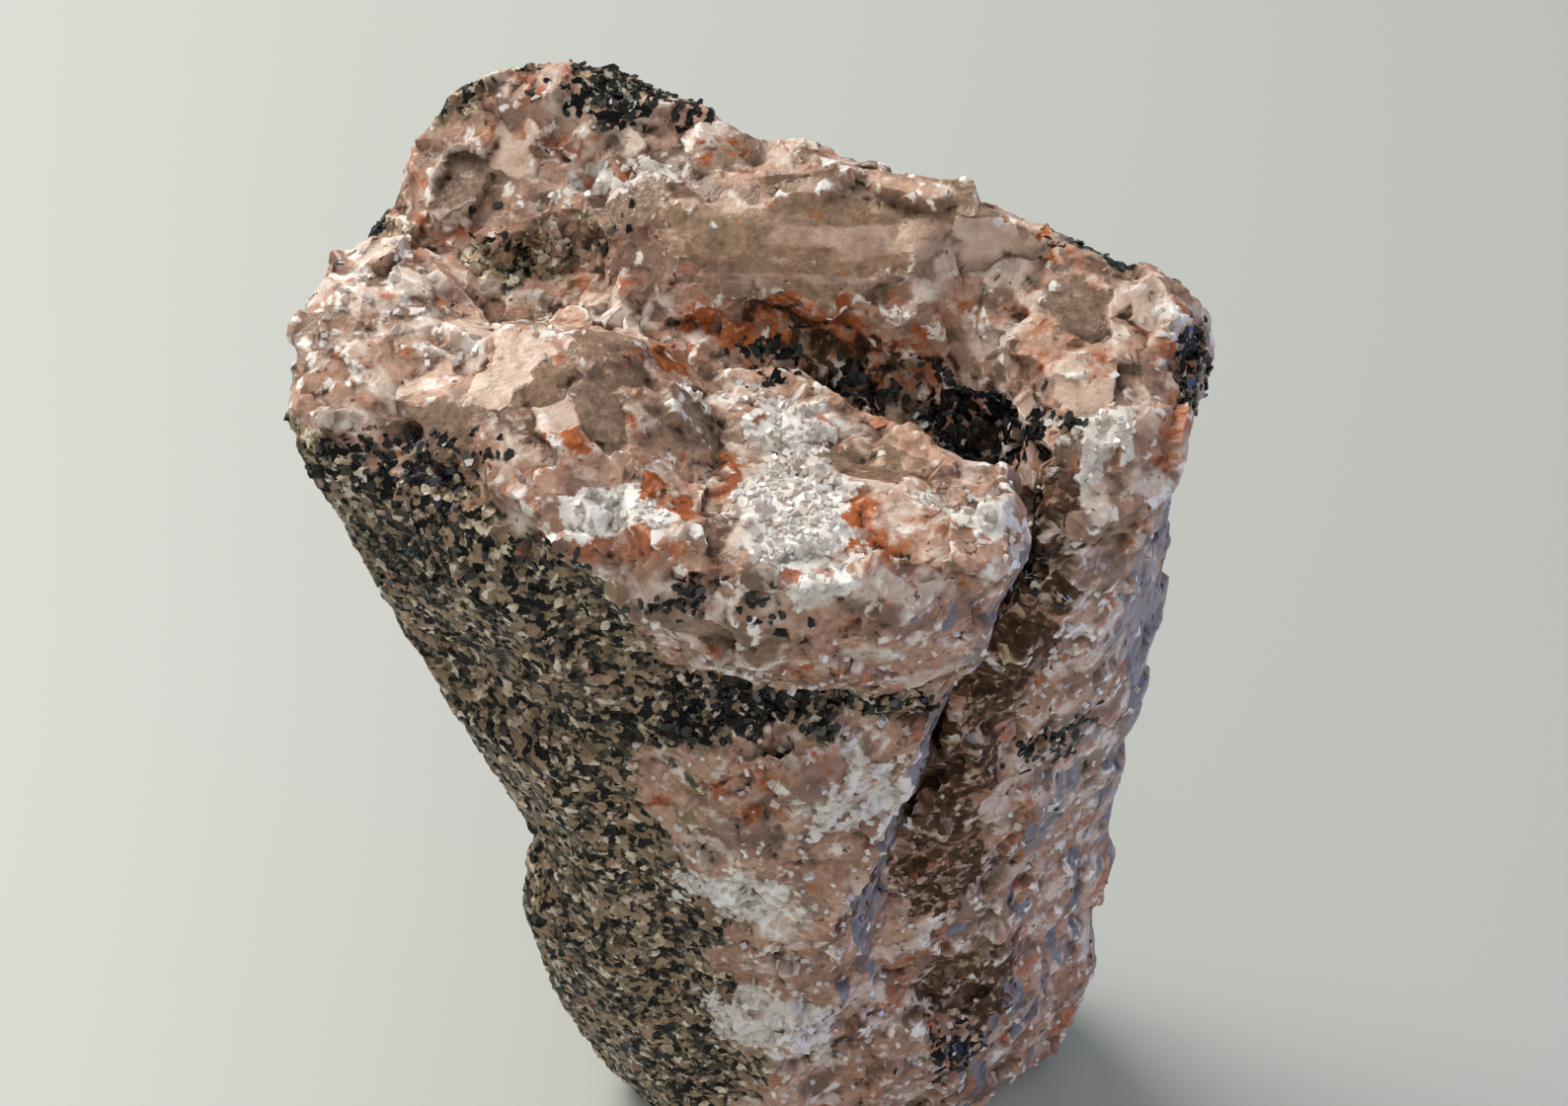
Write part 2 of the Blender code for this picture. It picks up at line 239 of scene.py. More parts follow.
# %% [markdown]
# The next cell is the stone's map: which minerals are where, as patches in millimetres. A patch is
# a soft ellipsoid with a centre, radii and strength. Painting a picture on the stone would fix the
# colours to one view. Patches in space colour a crystal all through, as minerals do, and they go
# round every side.
#
# The coarse pink vein covers the broken top and runs down the front. Its left edge on the front
# was read from the stone at several heights. The back edge leans back with the height, and a
# second, thin vein crosses the back as a slanting sheet.

# %% The map of the minerals
VEIN_EDGE_HEIGHT = (0, 20, 50, 70, 86, 90, 95, 99, 106, 112, 117, 120)
VEIN_EDGE = (-9, -10, -13, -18, -23, 6, 4, -18, -25, -33, -46, -66)
VEIN_BACK_HEIGHT = (0, 60, 110, 118, 124, 140)
VEIN_BACK = (9, 10, 12, 20, 30, 31)
VEIN_FADE = 4.0

THIN_VEIN_LEAN = (0.72, 0.20, -0.35)
THIN_VEIN_SHIFT = 22.0
THIN_VEIN_HALF = 3.0
THIN_VEIN_FADE = 2.0
THIN_VEIN_START = 5.0

PATCHES = {
    # (centre, radii, strength) of each patch
    "white": [
        ((-6.6, -10, 116.5), (5, 8, 4), 1.0), ((-5.5, -20, 118), (6.5, 10, 5), 1.0),
        ((-3, -29, 117), (4, 5, 5), 0.6), ((-24, -23.5, 118), (6, 5, 3.5), 0.8),
        ((10.5, -19.5, 117.5), (7, 4, 3), 0.75), ((14.5, -23, 117), (4, 5, 3), 0.5),
        ((27.6, -11.6, 117.5), (4.5, 4, 4), 1.0), ((-54, 8, 124.5), (8, 8, 4), 0.35),
        ((-56, -1, 123), (5, 5, 3), 0.3), ((-25, 22.5, 127.5), (8, 3, 2.5), 0.7),
        ((-33, 24, 125.5), (5, 3, 2.5), 0.5), ((16.5, 5, 117), (2.6, 3, 3), 0.5),
        ((-14, -26.5, 61), (10, 6, 5), 0.62), ((-9, -27, 36), (11, 6, 9), 0.6),
        ((25, -14, 92), (6, 6, 8), 0.3), ((3, -27, 78), (8, 5, 7), 0.55),
        ((-10, -30, 100), (7, 4, 2.5), 0.35), ((30, -6, 50), (5, 8, 16), 0.25),
        ((-17, -5, 120.5), (2.5, 3, 2), 0.9), ((-12.5, -4, 119), (2, 4, 2), 0.7),
        ((-33, -1, 126), (4, 3, 2), 0.7), ((-44, -1, 124), (6, 4, 2), 0.4),
        ((25, 5, 121), (4, 3, 3), 0.5), ((35, 5, 122), (4, 3, 3), 0.5),
    ],
    "smoky": [
        ((24.5, 3, 119.5), (7, 4.5, 4), 1.0),
        ((-16.5, -10, 119), (7, 7, 4), 0.75), ((3, -12.6, 116), (4.5, 4, 4), 0.9),
        ((-30, -7, 124), (13, 8, 5), 0.5), ((30, 7, 123), (5, 4, 4), 0.7),
        ((-40, 25, 128), (7, 6, 5), 0.5), ((-12, -32, 108), (13, 5, 6), 0.45),
        ((0, -31, 106), (8, 4, 5), 0.4), ((30, -14, 103), (6, 5, 10), 0.5),
        ((-24, 20.5, 127), (5, 3, 2.5), 0.8), ((-37, -12, 120), (7, 4, 3), 0.4),
    ],
    "rust": [
        ((-7, 8.5, 119.5), (15, 5, 5.5), 0.8), ((4, 6.5, 116), (8, 4, 5), 0.8),
        ((-19.5, 1.5, 121.5), (4.5, 5, 3), 1.0), ((-18.5, -21.7, 118), (5, 4, 3), 0.95),
        ((0.7, -22.6, 117.5), (4.5, 4.5, 3), 0.9), ((2.5, -27, 117), (4, 4, 3), 0.6),
        ((10.6, -22.5, 116.9), (1.8, 2, 2), 1.0), ((22.3, 13.5, 125.6), (3, 3, 3), 1.0),
        ((-38, 29.5, 130.5), (7, 3, 2.5), 0.6), ((-8, 24.5, 131.5), (12, 3, 2), 0.55),
        ((-31, -17, 119), (5, 4, 3), 0.6), ((-14, -15, 118), (3.5, 3, 2.5), 0.9),
        ((-52, -2, 123), (4, 4, 3), 0.5), ((37, -1, 118), (4, 5, 4), 0.55),
        ((-6, -32, 104), (9, 4, 3), 0.5), ((12, -24, 110), (5, 5, 8), 0.35),
        ((-13, -25, 78), (12, 6, 4), 0.45), ((-33, -19, 118), (4, 4, 3), 0.5),
        ((-24, -6, 124), (4, 3, 2), 0.5), ((-46, 24, 125), (5, 5, 4), 0.5),
        ((-6, 15, 129), (10, 2.5, 2), 0.35),
    ],
    "mica": [
        ((-5, -24.5, 91.5), (17, 7, 5), 0.6), ((-23, 33, 132), (12, 6, 6), 0.75),
        ((-55.5, 25, 118), (3.5, 4, 6), 0.9), ((32, 13.5, 124.5), (9, 3.2, 3), 0.9),
        ((15, 1, 111), (5, 6, 4), 0.95), ((22.3, -10.5, 117), (3, 2, 2), 0.9),
        ((19, -7, 114), (3, 3, 3), 0.7), ((-10, 6.5, 116), (6, 3, 3), 0.6),
        ((-9.5, 0, 117), (2, 3, 2), 0.8), ((-48, -13, 117.5), (14, 4, 3), 0.45),
        ((-44, -15, 107), (12, 8, 9), 0.3),
        ((-30, -24.5, 109), (9, 5, 7), 0.35), ((-18, -30, 112), (4, 4, 3), 0.5),
        ((-9, -31.5, 112.5), (4, 3, 2), 0.45), ((-42, 22, 122), (4, 3, 2.5), 0.45),
        ((-27, 17, 122), (4, 3, 2.5), 0.35), ((39.5, 1, 118), (2, 7, 8), 0.8),
        ((4, 3.5, 112.5), (6, 3, 2.5), 0.6), ((20, -14, 104), (4, 6, 8), 0.35),
        ((25, -12, 72), (5, 4, 4), 0.5), ((14, -17, 19), (7, 5, 5), 0.5),
    ],
    # the dirt patches are mostly painted shade: along the crevice, in the groove and the back
    # valley, and under the shelf's lip
    "dirt": [
        ((21.5, -14, 106), (5, 7, 12), 0.8), ((18, -17.5, 91), (6, 7, 12), 0.85),
        ((13, -18, 75), (6, 7, 13), 0.85), ((12, -18.5, 56), (7, 6, 13), 0.8),
        ((17, -15.5, 32), (9, 7, 12), 0.8), ((0, 6, 114), (16, 6, 4), 0.7),
        ((-36, 19, 122), (15, 5, 4), 0.4), ((-13, -24, 96), (14, 5, 3), 0.4),
        ((-8, -31, 102), (14, 4, 4), 0.35),
        ((5, -23, 62), (3.5, 5, 8), 0.85), ((8.5, -20, 71), (3, 5, 8), 0.85),
        ((19, -15, 99), (3, 6, 9), 0.9),
    ],
    "rosy": [
        ((-43, 27, 127), (11, 9, 9), 1.0), ((-36, 31, 131), (8, 6, 6), 1.0),
    ],
    "speckled": [
        ((-35, 19, 121.5), (16, 6, 4.5), 0.62), ((-5, -25, 91), (20, 8, 5.5), 0.9),
        ((-20, 17, 122), (12, 4, 3.5), 0.7), ((31, 13, 125), (9, 4, 4), 0.8),
        ((-30, -26, 108), (10, 5, 7), 0.6),
    ],
}

print({name: len(patches) for name, patches in PATCHES.items()})

# %% [markdown]
# Now the map is read at every point. The point is first pushed about by the two drifts, so the
# edge of a patch frays and no patch shows as a round spot. The rosy patches add to the vein, and
# the speckled ones, where the fine granite shows through it, take from it. The vein also steers
# how the surface breaks, and for that it is averaged over each grain, so that a grain breaks as
# one.

# %% Reading the map
PATCH_REACH = 1.35
BROAD_FRAY = 14.0
FINE_FRAY = 9.0


def soft_step(value):
    value = np.clip(value, 0.0, 1.0)
    return value * value * (3.0 - 2.0 * value)


def patch_field(points, patches):
    found = np.zeros(len(points))
    for centre, radii, strength in patches:
        off = ((points - np.array(centre)) / np.array(radii)) ** 2
        found = np.maximum(found, strength * soft_step(PATCH_REACH - off.sum(1)))
    return found


def vein_field(points):
    x, y, z = points.T
    front = (x - np.interp(z, VEIN_EDGE_HEIGHT, VEIN_EDGE)) / VEIN_FADE
    back = (np.interp(z, VEIN_BACK_HEIGHT, VEIN_BACK) - y) / VEIN_FADE
    lean_x, lean_y, lean_z = THIN_VEIN_LEAN
    across = lean_x * x + lean_z * z + lean_y * y + THIN_VEIN_SHIFT
    thin_vein = (THIN_VEIN_HALF - np.abs(across)) / THIN_VEIN_FADE
    thin_vein = np.where(y > THIN_VEIN_START, thin_vein, -1)
    return soft_step(0.5 + 0.5 * np.maximum(np.minimum(front, back), thin_vein))


def mean_of(group, values):
    count = np.bincount(group)
    if values.ndim == 1:
        return np.bincount(group, values) / count
    return np.stack([np.bincount(group, column) / count for column in values.T], 1)


broad_drift = vectors(stone, "broad_drift") - 0.5
fine_drift = vectors(stone, "fine_drift") - 0.5
frayed = bed + BROAD_FRAY * broad_drift + FINE_FRAY * fine_drift
fields = {name: patch_field(frayed, patches) for name, patches in PATCHES.items()}
fields["vein"] = np.maximum(vein_field(frayed), fields.pop("rosy")) * (1.0 - fields.pop("speckled"))
vein = mean_of(crystals["grain"], fields["vein"])[crystals["grain"]]
print({name: round(float(field.mean()), 3) for name, field in fields.items()})

# %% [markdown]
# The stone doesn't break alike all over. The quartz slope of the ridge, a few other glassy places
# and most of the right-hand side are smoother, so there the grains are calmed. The largest
# crystals show one flat face each, pale feldspar or glassy quartz. Blocks or ovals in their places
# would look set in, so each is a whole cell of the crystal pattern, with that cell's crooked
# outline. The list has a point on each, and the crystal of the nearest point of the mesh is taken.

# %% Calm places and large crystals
SMOOTH_PLACES = [
    ((-2, 13.5, 127), (17, 5, 4), 1.0), ((11, 10.5, 123), (5, 5, 8), 1.0),
    ((25, 2, 120), (6, 4, 3), 1.0), ((-29, -8, 124), (9, 6, 4), 0.5),
    ((-17, -9, 119), (6, 6, 4), 0.7), ((4, -12, 116), (5, 4, 4), 0.7),
    ((-35, 30, 131), (7, 4, 3), 0.5),
]
LARGE_CRYSTALS = {
    "pale": [(34.0, 2.5, 122.4), (27.0, -5.6, 119.2), (-43.5, 0.6, 124.4), (-30.0, -13.0, 121.0),
             (-38.0, 28.0, 131.6), (19.0, 13.6, 126.4), (-36.0, -6.0, 124.0), (9.0, -21.0, 118.0)],
    "glassy": [(24.5, 1.8, 121.0), (28.6, 6.8, 123.4), (1.6, -12.4, 116.2), (-26.0, -8.6, 123.8),
               (-17.5, -8.5, 119.6), (-46.0, 24.0, 125.8), (-24.5, 21.6, 128.0), (37.0, 9.0, 124.2),
               (-40.0, -12.0, 119.0), (-13.0, -31.0, 108.0)],
}
SMOOTH_CALM = 0.85
LARGE_CALM = 0.8
SIDE_CALM = 0.5
SIDE_FROM, SIDE_FADE, SIDE_FRAY = 0.50, 0.35, 0.4
SIDE_TOP, SIDE_TOP_FADE = 116.0, 6.0


def normals_of(item):
    item.data.update()
    found = np.empty(3 * len(item.data.vertices), np.float32)
    item.data.vertices.foreach_get("normal", found)
    return found.reshape(-1, 3).astype(float)


for kind, places in LARGE_CRYSTALS.items():
    picked = [crystals["crystal"][np.argmin(((bed - at) ** 2).sum(1))] for at in places]
    fields[kind] = np.isin(crystals["crystal"], picked).astype(float)
large = sum(fields[kind] for kind in LARGE_CRYSTALS)
rightwards = normals_of(stone)[:, 0] + SIDE_FRAY * broad_drift[:, 0]
below_top = soft_step((SIDE_TOP - bed[:, 2]) / SIDE_TOP_FADE)
right_side = soft_step((rightwards - SIDE_FROM) / SIDE_FADE) * below_top
calm = (1.0 - SMOOTH_CALM * patch_field(bed, SMOOTH_PLACES)) * (1.0 - LARGE_CALM * large)
calm = calm * (1.0 - SIDE_CALM * right_side)
print("points on large crystals:", int(large.sum()), "mean calm:", round(float(calm.mean()), 3))

# %% [markdown]
# Now the surface breaks. All the points of one crystal move, each along its own normal, towards
# one plane: the crystal's mean place and mean direction, tilted and raised a little at random. A
# cap on the move keeps deep places whole, and no point goes below the floor. The coarse crystals
# go first, then the grains, then the specks, and each size works on the shape that the one before
# left. The moves of the coarse crystals are evened once over neighbouring points, because a sharp
# step of a millimetre would leave saw teeth along a ledge. Dragging each face by hand would give
# the same ledges, and a displacement texture would give soft bumps without flat faces.

# %% Breaking the surface
LEAST_LEAN = 0.4  # a point that faces sideways would move far without this
BREAKS = {
    # most that a point moves and step between crystals, in mm; tilt; rounds of evening
    "crystal": {"cap": 1.20, "step": 0.70, "tilt": 0.60, "rounds": 1},
    "grain": {"cap": 0.28, "step": 0.18, "tilt": 0.45, "rounds": 0},
    "speck": {"cap": 0.16, "step": 0.22, "tilt": 0.70, "rounds": 0},
}
chance = np.random.default_rng(7)


def unit(directions):
    return directions / np.maximum(np.linalg.norm(directions, axis=1, keepdims=True), 1e-9)


def move_to(item, place):
    item.data.attributes["position"].data.foreach_set("vector", place.astype(np.float32).ravel())
    item.data.update()


def evened(item, values, rounds):
    ends = np.empty(2 * len(item.data.edges), np.int32)
    item.data.edges.foreach_get("vertices", ends)
    first, second = ends.reshape(-1, 2).T
    count = np.bincount(np.concatenate([first, second]), minlength=len(values))[:, None]
    for _ in range(rounds):
        total = np.zeros_like(values)
        for column in range(values.shape[1]):
            total[:, column] = np.bincount(first, values[second, column], len(values))
            total[:, column] += np.bincount(second, values[first, column], len(values))
        values = 0.5 * values + 0.5 * total / count
    return values


def break_surface(item, group, share, cap, step, tilt, rounds):
    place = vectors(item, "position")
    normal = normals_of(item)
    middle = mean_of(group, place)
    facing = unit(mean_of(group, normal))
    facing = unit(facing + tilt * (chance.random(facing.shape) - 0.5))
    level = step * (chance.random(len(middle)) - 0.5)
    lean = (normal * facing[group]).sum(1)
    away = ((middle[group] - place) * facing[group]).sum(1) + level[group]
    move = np.clip(away / np.maximum(lean, LEAST_LEAN), -cap, cap) * share
    move_to(item, place + normal * evened(item, move[:, None], rounds))
    print("moved on average, mm:", round(float(np.abs(move).mean()), 3))


# coarse crystals break out in the vein, and small ones outside it
shares = {
    "crystal": np.maximum(calm * (0.10 + 0.90 * vein), large),
    "grain": calm * (1.0 - 0.4 * vein),
    "speck": calm * (1.0 - 0.8 * vein),
}
for name, values in BREAKS.items():
    break_surface(stone, crystals[name], shares[name], **values)
place = vectors(stone, "position")
place[:, 2] = np.maximum(place[:, 2], 0.0)
move_to(stone, place)

# %% [markdown]
# The material needs more than the map. Curvature is how far a point lies from its place after
# smoothing, and more rounds of smoothing find wider hollows: the pits between grains, the dents
# and knocked edges of crystals, and the deep crevice and groove. Dirt and painted shade darken
# what is sunk, standing in for the shadow in dents and in the deep crevice and groove, except on
# the white patches, and knocked edges in the vein are paler. The pits get a painted shade of their
# own. `slope` is the quartz slope of the ridge. `sugar` says where small loose grains lie: on the
# white patches, and a few on the lower vein. Mica plates and grains stop just above the floor, so
# that none sinks into it.

# %% Fields for the material
PIT_ROUNDS, PIT_DEPTH, PIT_SHADE = 12, 0.22, 0.6
DENT_ROUNDS, DENT_DEPTH, DENT_SHADE, EDGE_WHITE = 30, 0.30, 0.45, 0.35
DEEP_ROUNDS, DEEP_FROM, DEEP_FADE = 200, 0.5, 1.0
LOWER_PART, LOWER_FADE, LOWER_SUGAR = 112.0, 6.0, 0.05
FOOT, FOOT_FADE = 2.0, 2.0
CLEAN_WHITE = 0.8
QUARTZ_SLOPE = [((-3, 13.5, 127), (25, 8, 5), 1.0)]


def curvature(item, rounds):
    place = vectors(item, "position")
    return ((evened(item, place, rounds) - place) * normals_of(item)).sum(1)


sunk = curvature(stone, DENT_ROUNDS)
hollow, edge = soft_step(sunk / DENT_DEPTH), soft_step(-sunk / DENT_DEPTH)
# painted shade: the deep crevice and groove are darkened in colour, as their shadow would darken
# them
deep_shade = soft_step((curvature(stone, DEEP_ROUNDS) - DEEP_FROM) / DEEP_FADE)
low_part = soft_step((LOWER_PART - bed[:, 2]) / LOWER_FADE)
above_floor = soft_step((bed[:, 2] - FOOT) / FOOT_FADE)

# the side that faces right; the material tints it lilac grey, partly as painted cool light
fields["side"] = right_side
fields["sugar"] = fields["white"] ** 2 + LOWER_SUGAR * fields["vein"] * low_part
fields["sugar"] *= (1.0 - fields["side"]) * (1.0 - fields["dirt"])
fields["sugar"] *= above_floor
fields["mica"] *= above_floor
fields["slope"] = patch_field(frayed, QUARTZ_SLOPE)
# painted shade between grains: the pits are darkened in the colour later
fields["pits"] = PIT_SHADE * soft_step(curvature(stone, PIT_ROUNDS) / PIT_DEPTH)
fields["fine"] = 1.0 - fields["vein"]
# dirt and painted shade: dents are darkened in colour as shadow falls in them, and the deep places
# darkest
fields["dirt"] = np.maximum(fields["dirt"], DENT_SHADE * hollow)
fields["dirt"] = np.maximum(fields["dirt"] * (1.0 - CLEAN_WHITE * fields["white"]), deep_shade)
fields["white"] = np.maximum(fields["white"], EDGE_WHITE * edge * fields["vein"])
print("deep share:", round(float(deep_shade.mean()), 4), "fields:", list(fields))

# %% [markdown]
# The fields go on the mesh as attributes, which the plates, the grains and the material read. Then
# the mesh is thinned, which keeps short edges at the crystals' borders and spends fewer triangles
# inside their flat faces. What is no longer needed is taken off the mesh.

# %% Attributes and thinning
MOST_TRIANGLES = 194000
SHARP_FROM = math.radians(20)


def write_number(item, name, values):
    layer = item.data.attributes.new(name, "FLOAT", "POINT")
    layer.data.foreach_set("value", np.clip(values, 0, 1).astype(np.float32))


for name, field in fields.items():
    write_number(stone, name, field)
triangles = 2 * len(stone.data.polygons)
thin = stone.modifiers.new("fewer triangles", "DECIMATE")
thin.ratio = min(1.0, MOST_TRIANGLES / triangles)
apply_all(stone)
for name in (*SIZES, *DRIFTS):
    stone.data.attributes.remove(stone.data.attributes[name])
only(stone)
bpy.ops.object.shade_smooth_by_angle(angle=SHARP_FROM)
print("triangles:", triangles, "->", len(stone.data.polygons))
print("attributes:", [layer.name for layer in stone.data.attributes])

# %% [markdown]
# Two things stand out of the real surface and catch the light one by one: dark mica plates, six
# sided and thin, and clear angular grains of quartz and feldspar. One plate and one grain are
# made, and geometry nodes set them over the stone where its fields say, each with its own turn and
# size, half sunk. The copies are then made real, so each kind is one joined mesh. Placing
# thousands by hand isn't practical, and a texture alone wouldn't glint at the edges.

# %% Plates and grains
HALF_TURN = 3.1


def scatter(name, seed_shape, field, density, sizes, lean, seed):
    tree = mesh_tree(name)
    shape = add(tree, "NodeGroupInput").outputs[0]
    share = add(tree, "GeometryNodeInputNamedAttribute", {"Name": field}, data_type="FLOAT")
    amount = add(tree, "ShaderNodeMath", {0: share.outputs[0], 1: density}, operation="MULTIPLY")
    points = add(tree, "GeometryNodeDistributePointsOnFaces", {"Mesh": shape,
                 "Density": amount.outputs[0], "Seed": seed})
    swing = add(tree, "FunctionNodeRandomValue", {"Min": (-lean, -lean, -HALF_TURN),
                "Max": (lean, lean, HALF_TURN), "Seed": seed + 1}, data_type="FLOAT_VECTOR")
    turn = add(tree, "FunctionNodeRotateRotation", {"Rotation": points.outputs["Rotation"],
               "Rotate By": swing.outputs[0]}, rotation_space="LOCAL")
    size = add(tree, "FunctionNodeRandomValue", {"Min": sizes[0], "Max": sizes[1],
               "Seed": seed + 2}, data_type="FLOAT_VECTOR")
    one = add(tree, "GeometryNodeObjectInfo", {"Object": seed_shape})
    copies = add(tree, "GeometryNodeInstanceOnPoints", {"Points": points.outputs["Points"],
                 "Instance": one.outputs["Geometry"], "Rotation": turn.outputs[0],
                 "Scale": size.outputs[0]})
    tint = add(tree, "FunctionNodeRandomValue", {"Seed": seed + 3}, data_type="FLOAT")
    kept = add(tree, "GeometryNodeStoreNamedAttribute", {"Geometry": copies.outputs[0],
               "Name": "tint", "Value": tint.outputs["Value"]}, data_type="FLOAT",
               domain="INSTANCE")
    real = add(tree, "GeometryNodeRealizeInstances", {0: kept.outputs[0]})
    add(tree, "NodeGroupOutput", {0: real.outputs[0]})
    piece = bpy.data.objects.new(name, stone.data.copy())
    bpy.context.scene.collection.objects.link(piece)
    piece.modifiers.new("scatter", "NODES").node_group = tree
    apply_all(piece)
    piece.data.transform(Matrix.Scale(MM, 4))
    bpy.data.objects.remove(seed_shape)
    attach(piece, "root")
    print(name, "triangles:", sum(len(face.vertices) - 2 for face in piece.data.polygons))
    return piece


# drawn in millimetres, as the working copy is; `sizes` gives the least and the most scale
bpy.ops.mesh.primitive_cylinder_add(vertices=6, radius=1.0, depth=0.3)
plate = bpy.context.object
bpy.ops.mesh.primitive_cube_add(size=1.5)
chip = bpy.context.object
mica_plates = scatter("mica_plates", plate, "mica", density=0.9,
                      sizes=((0.25, 0.25, 0.5), (1.0, 0.6, 1.2)), lean=0.6, seed=3)
quartz_grains = scatter("quartz_grains", chip, "sugar", density=1.3,
                        sizes=((0.2, 0.2, 0.2), (0.8, 0.6, 0.5)), lean=1.5, seed=11)

# %% [markdown]
# Black mica splits into flat sheets, so a plate is near black and its face is glossy. The small
# grains are clear quartz, which breaks like glass, and white feldspar: they are pale and glossy,
# and some light goes through them. The tint that the nodes stored sets each copy between the
# darker and the lighter colour, so that neighbours differ.

# %% Mica and quartz
MINERAL_IOR = 1.55
LOOSE_MINERALS = (
    # piece, name, darker, lighter, roughness, transmission
    (mica_plates, "black mica", "#050606", "#24292a", 0.18, 0.0),
    (quartz_grains, "clear quartz and feldspar", "#dccabe", "#ffffff", 0.15, 0.3),
)

for piece, title, dark, light, rough, clear in LOOSE_MINERALS:
    made = bpy.data.materials.new(title)
    made.use_nodes = True
    tree = made.node_tree
    shader = tree.nodes["Principled BSDF"]
    tint = add(tree, "ShaderNodeAttribute", attribute_name="tint").outputs["Fac"]
    tone = add(tree, "ShaderNodeMix", {0: tint, 6: paint(dark), 7: paint(light)}, data_type="RGBA")
    tree.links.new(tone.outputs[2], shader.inputs["Base Color"])
    shader.inputs["Roughness"].default_value = rough
    shader.inputs["Transmission Weight"].default_value = clear
    shader.inputs["IOR"].default_value = MINERAL_IOR
    piece.data.materials.clear()
    piece.data.materials.append(made)
    print(title, "on", piece.name)

# %% [markdown]
# The colour of granite is the colour of its minerals, side by side: pink to white feldspar, grey
# to brown quartz, black mica, and rust where iron has weathered. One mixed colour with a speckle
# on it looks like painted concrete. The material asks each point two things instead: which crystal
# is this, and how likely is each mineral here? Every crystal draws a random number for every
# mineral, a drift shifts it, and where the result is below the mineral's share, the crystal is
# made of it.
#
# Later minerals cover earlier ones. The list starts with the fine granite. Then come the feldspar
# and quartz of the vein, the smoky places, the quartz slope, the rust, the large crystals and the
# smooth right side, whose grey lilac is partly painted cool light. The white feldspar, the dirt and
# painted shade of sunk places, and the places rich in mica lie over them all.
# The shares, sizes and colours were set against the real stone.

# %% The minerals
MINERALS = (
    # region, share, patch in mm, cell, weight of the cell, softness, darker, lighter, roughness
    # fine granite: brown feldspar, dark quartz, pink and pale feldspar, black mica
    ("all", 1.00, 4.0, SPECK, 0.6, 0.10, "#6f5e4a", "#b8a286", 0.45),
    ("all", 0.34, 1.6, SPECK, 0.7, 0.06, "#2e2d26", "#615c4c", 0.25),
    ("all", 0.20, 2.0, GRAIN, 0.4, 0.08, "#98725c", "#cca88c", 0.42),
    ("all", 0.30, 1.1, SPECK, 0.6, 0.05, "#bdae94", "#fbf2e0", 0.45),
    ("fine", 0.44, 1.0, SPECK, 0.55, 0.06, "#010101", "#0a0b0a", 0.40),
    # coarse vein: pink feldspar, smoky quartz, pale and white feldspar, orange stain, brown specks
    ("vein", 1.00, 6.0, CRYSTAL, 0.35, 0.10, "#94705c", "#d0ac98", 0.38),
    ("vein", 0.46, 5.0, CRYSTAL, 0.35, 0.09, "#6a5044", "#a48a7a", 0.20),
    ("vein", 0.40, 4.5, GRAIN, 0.12, 0.14, "#c4aa9a", "#eaddd3", 0.38),
    ("vein", 0.22, 2.4, SPECK, 0.12, 0.09, "#dcd0c6", "#fffcf8", 0.38),
    ("vein", 0.24, 4.5, SPECK, 0.12, 0.14, "#985236", "#cc8c6a", 0.50),
    ("vein", 0.16, 1.0, SPECK, 0.30, 0.05, "#5a4234", "#86685a", 0.50),
    # smoky quartz with paler grains, and the long glossy slope of the ridge
    ("smoky", 1.00, 3.5, CRYSTAL, 0.35, 0.12, "#6e5748", "#a88d78", 0.15),
    ("smoky", 0.26, 1.6, GRAIN, 0.2, 0.12, "#b8957a", "#e8d4be", 0.30),
    ("slope", 0.90, 3.0, GRAIN, 0.15, 0.12, "#78604e", "#b0957e", 0.18),
    ("slope", 0.40, 4.0, SPECK, 0.10, 0.10, "#a88a78", "#d4bcac", 0.30),
    # rust, dull, with lighter and nearly black grains in it
    ("rust", 0.75, 2.4, GRAIN, 0.3, 0.16, "#7c3c20", "#c4723f", 0.60),
    ("rust", 0.28, 1.2, SPECK, 0.4, 0.10, "#c07048", "#e6a880", 0.55),
    ("rust", 0.25, 1.4, SPECK, 0.5, 0.08, "#1c100a", "#4c3020", 0.60),
    # large crystals of feldspar and of quartz, then the grey quartz of the right side, whose lilac
    # tint is partly painted cool light
    ("pale", 0.85, 4.0, SPECK, 0.05, 0.10, "#c8a894", "#f0ddd0", 0.25),
    ("glassy", 0.85, 4.0, SPECK, 0.05, 0.10, "#715c4e", "#ad9482", 0.12),
    ("side", 0.62, 2.6, SPECK, 0.15, 0.10, "#5a575c", "#a19ea8", 0.30),
    ("side", 0.22, 1.2, SPECK, 0.50, 0.06, "#141416", "#3c3a3e", 0.35),
    # white feldspar, then dirt and painted shade, dark in sunk places, and sandy grains in it,
    # then black mica with a sheen
    ("white", 1.10, 2.2, SPECK, 0.25, 0.10, "#dcd7d0", "#ffffff", 0.35),
    ("dirt", 0.80, 1.4, SPECK, 0.45, 0.14, "#24170f", "#6e523c", 0.80),
    ("dirt", 0.26, 1.1, SPECK, 0.55, 0.08, "#957c5f", "#d6c2a2", 0.60),
    ("mica", 0.80, 1.2, SPECK, 0.7, 0.05, "#020202", "#121516", 0.22),
)
STRETCH = {"side": (1.0, 1.0, 0.25), "slope": (0.3, 1.0, 1.8)}
print("minerals:", len(MINERALS))

# %% [markdown]
# The material first reads what the mesh carries: the place `bed`, and one number for each field.
# From the place it makes the same three crystal patterns that broke the surface. Two drifts, one
# broad and one fine, mottle the crystals inside, as growth does in feldspar.

# %% What the material reads
MOTTLE_SIZES = (3.0, 0.8)
MOTTLE_LOW, MOTTLE_HIGH = 0.3, 0.7

